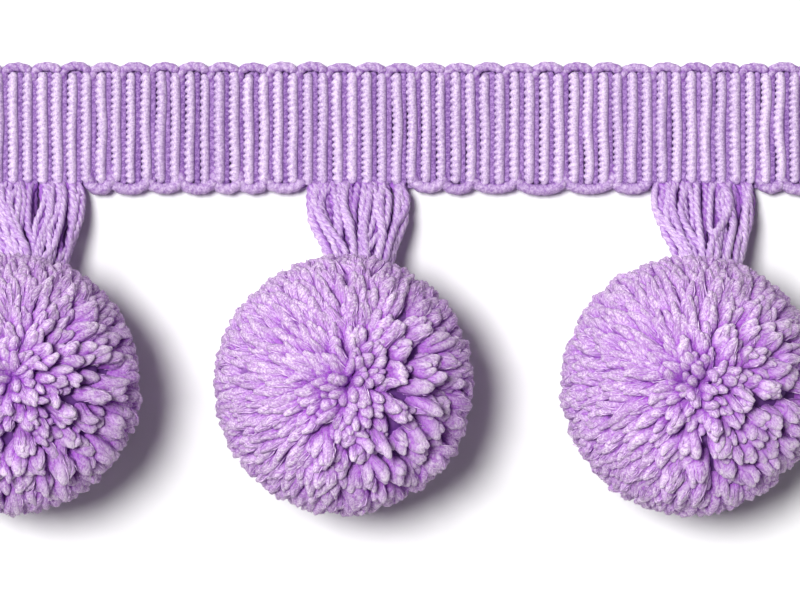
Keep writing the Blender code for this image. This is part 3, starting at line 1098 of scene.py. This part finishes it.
def fuzz_corners(rng, middle, paths, radii):
    """The five corners of each loose fibre. It lies along a strand's outer end, on its side."""
    strand = rng.integers(0, len(paths), FUZZ_FIBRES)
    loose = looseness(unit(paths[strand, -1] - middle))
    kept = rng.random(FUZZ_FIBRES) > FUZZ_THINNING * loose
    paths, radii, loose = paths[strand[kept]], radii[strand[kept]], loose[kept, None]
    count = len(paths)
    lengths = np.linalg.norm(paths[:, -1] - paths[:, 0], axis=-1)
    halves = rng.uniform(*FUZZ_LENGTH, count) / 2 / lengths
    middles = FUZZ_FURTHEST - halves - FUZZ_SPAN * rng.random(count) ** FUZZ_GATHERING
    outward = unit(paths[:, -1] - middle)
    along = unit(paths[:, -1] - paths[:, -3])
    aside = unit(rng.normal(0, 1, (count, 3)) + FUZZ_OUTWARDS * outward)
    aside = unit(aside - (aside * along).sum(-1, keepdims=True) * along)
    closeness = FUZZ_CLOSENESS - FUZZ_LOOSE_SINKING * loose
    start, centre, end = (
        at_shares(shares, paths) + aside * at_shares(shares, radii[..., None]) * closeness
        for shares in (middles - halves, middles, middles + halves)
    )
    start = start + rng.normal(0, FUZZ_SPLAY, (count, 3))
    end = end + rng.normal(0, FUZZ_SPLAY, (count, 3))
    across = unit(np.cross(along, aside)) * FUZZ_WIDTH / 2
    lift = aside * FUZZ_WIDTH / 2
    corners = np.stack(
        [start, centre + lift, centre - lift + across, centre - lift - across, end], axis=1
    )
    corners[..., 2] = np.maximum(corners[..., 2], FUZZ_FLOOR_GAP)
    return corners


def add_fuzz(name, seed, paths, radii, material):
    """The loose fibres of one pompom."""
    rng = np.random.default_rng(seed)
    corners = fuzz_corners(rng, ball_middle(name), paths, radii)
    count, size, _ = corners.shape
    sides = np.array(FIBRE_FACES)
    faces = (size * np.arange(count)[:, None, None] + sides).reshape(-1, 3)
    mesh = bpy.data.meshes.new("pompom_%s_fuzz" % name)
    mesh.from_pydata(corners.reshape(-1, 3).tolist(), [], faces.tolist())
    paint_yarn(mesh, 0.0, np.repeat(rng.random(count), size), 0.0)
    columns = math.ceil(math.sqrt(count))
    cell = np.stack([np.arange(count) % columns, np.arange(count) // columns], -1)
    places = (cell[:, None] + np.array(FIBRE_MAP)[sides].reshape(-1, 2)).reshape(-1, 2)
    add_uv_map(mesh, "fibres", places)
    add_uv_map(mesh, "OFBake", places / columns)
    mesh.uv_layers.active = mesh.uv_layers["fibres"]
    return add_piece("pompom_%s_fuzz" % name, mesh, material)


def add_core(name, material):
    """The dense middle of a pompom, seen only between the strands: a mass of yarn roots, coloured
    darker than the yarn as painted shade in the gaps, with more painted shade between the roots'
    lumps and on the loose side.
    """
    body = bmesh.new()
    bmesh.ops.create_icosphere(body, subdivisions=CORE_SUBDIVISIONS, radius=1.0)
    mesh = bpy.data.meshes.new("pompom_%s_core" % name)
    body.to_mesh(mesh)
    body.free()
    ways = np.zeros(len(mesh.vertices) * 3)
    mesh.vertices.foreach_get("co", ways)
    ways = unit(ways.reshape(-1, 3))
    roots = even_directions(CORE_ROOTS)
    nearness = ways @ roots.T
    # 1 at the middle of a root and 0 at the edge of its share of the ball.
    swell = np.clip(1 - (1 - nearness.max(axis=1)) * CORE_ROOTS / 2, 0, 1)
    dense = 1 - looseness(ways)
    radius = CORE_RADIUS + CORE_FILLING * dense + CORE_RELIEF * np.sqrt(swell)
    points = ball_middle(name) + ways * radius[:, None]
    mesh.vertices.foreach_set("co", points.ravel())
    # Painted shade between the roots' lumps and on the loose side.
    paint_yarn(mesh, 1 - swell, (nearness.argmax(axis=1) * TONE_STEP) % 1, 1 - dense)
    add_uv_map(mesh, "fibres", ways[corner_points(mesh), :2] * CORE_RADIUS / MM)
    mesh.shade_smooth()
    return add_piece("pompom_%s_core" % name, mesh, material)


# --- Camera, light and floor ---


def add_camera():
    """A camera straight above, as far off as it takes to see VIEW_WIDTH at VIEW_PLANE."""
    data = bpy.data.cameras.new("camera")
    data.sensor_width = SENSOR_WIDTH
    data.lens = LENS
    distance = VIEW_WIDTH * LENS / SENSOR_WIDTH
    data.clip_start, data.clip_end = CLIP_RANGE
    camera = bpy.data.objects.new("camera", data)
    camera.location = (*VIEW_CENTRE, VIEW_PLANE + distance)
    bpy.context.scene.collection.objects.link(camera)
    bpy.context.scene.camera = camera


def add_sun(name, came_from, strength, angle):
    """A sun that shines from a direction, angle degrees wide."""
    data = bpy.data.lights.new(name, "SUN")
    data.energy = strength
    data.angle = math.radians(angle)
    sun = bpy.data.objects.new(name, data)
    sun.rotation_mode = "QUATERNION"
    sun.rotation_quaternion = Vector(came_from).to_track_quat("Z", "Y")
    bpy.context.scene.collection.objects.link(sun)


def add_sky():
    world = bpy.data.worlds.new("studio")
    world.use_nodes = True
    background = world.node_tree.nodes["Background"]
    background.inputs["Color"].default_value = (1, 1, 1, 1)
    background.inputs["Strength"].default_value = SKY_STRENGTH
    bpy.context.scene.world = world


def add_floor():
    bpy.ops.mesh.primitive_plane_add(size=FLOOR_SIZE, location=(0, 0, -FLOOR_DROP))
    floor = bpy.context.object
    floor.name = "floor"
    floor.data.materials.append(floor_material())
    floor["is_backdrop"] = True


def add_stage():
    """The camera, the lights and the floor, shown in plain colours."""
    add_camera()
    add_sun("overhead", OVERHEAD_FROM, OVERHEAD_STRENGTH, OVERHEAD_ANGLE)
    add_sun("side", SIDE_FROM, SIDE_STRENGTH, SIDE_ANGLE)
    add_sky()
    add_floor()
    bpy.context.scene.view_settings.view_transform = "Standard"


# --- The trim ---


def upper_loops():
    """The start and the width of each loop along the +Y edge, in ribs."""
    starts = np.arange(UPPER_LOOP_START, RIB_COUNT, UPPER_LOOP_SPACING)
    return starts, np.full(len(starts), UPPER_LOOP_WIDTH)


def lower_loops():
    """The start and the width of each loop along the -Y edge, in ribs."""
    starts, widths = [], []
    for first, stretch in LOWER_LOOPS:
        for width in stretch:
            starts.append(first)
            widths.append(width)
            first += width
    return starts, widths


def add_heading():
    """The ground cloth, and the cords and loops that lie on it."""
    heading = Heading()
    loops = loop_material()
    sheet = add_ground(heading, ground_material())
    ribs = add_ribs(heading, gimp_material())
    bands = add_bands(heading, band_material())
    upper = add_loops(
        "heading_upper_loops", heading, *upper_loops(), edge=1, radius=UPPER_LOOP_RADIUS,
        seed=UPPER_LOOP_SEED, darkness=UPPER_LOOP_DARKNESS, material=loops,
    )
    lower = add_loops(
        "heading_lower_loops", heading, *lower_loops(), edge=-1, radius=LOWER_LOOP_RADIUS,
        seed=LOWER_LOOP_SEED, darkness=LOWER_LOOP_DARKNESS, material=loops,
    )
    for piece in (sheet, ribs, bands, upper, lower):
        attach(piece, "root")
    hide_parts("heading")


def add_pompoms():
    """Each neck, and its pompom of roots, strands and loose fibres."""
    neck, pile, fuzz, core = neck_material(), pile_material(), fuzz_material(), shaded_core_material()
    for name, seed, tilt in POMPOMS:
        yarns = add_neck(name, seed, neck)
        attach(yarns, "root")
        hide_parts("neck_" + name)
        middle = add_core(name, core)
        strands, paths, radii = add_pile(name, seed, tilt, pile)
        hairs = add_fuzz(name, seed, paths, radii, fuzz)
        for piece in (middle, strands, hairs):
            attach(piece, "root")
        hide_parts("pompom_" + name)


def main():
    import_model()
    cad_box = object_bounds()
    add_stage()
    add_heading()
    add_pompoms()

    boxes = {"cad": cad_box, "visual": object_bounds()}
    boxes = {model: [list(corner) for corner in box] for model, box in boxes.items()}


main()
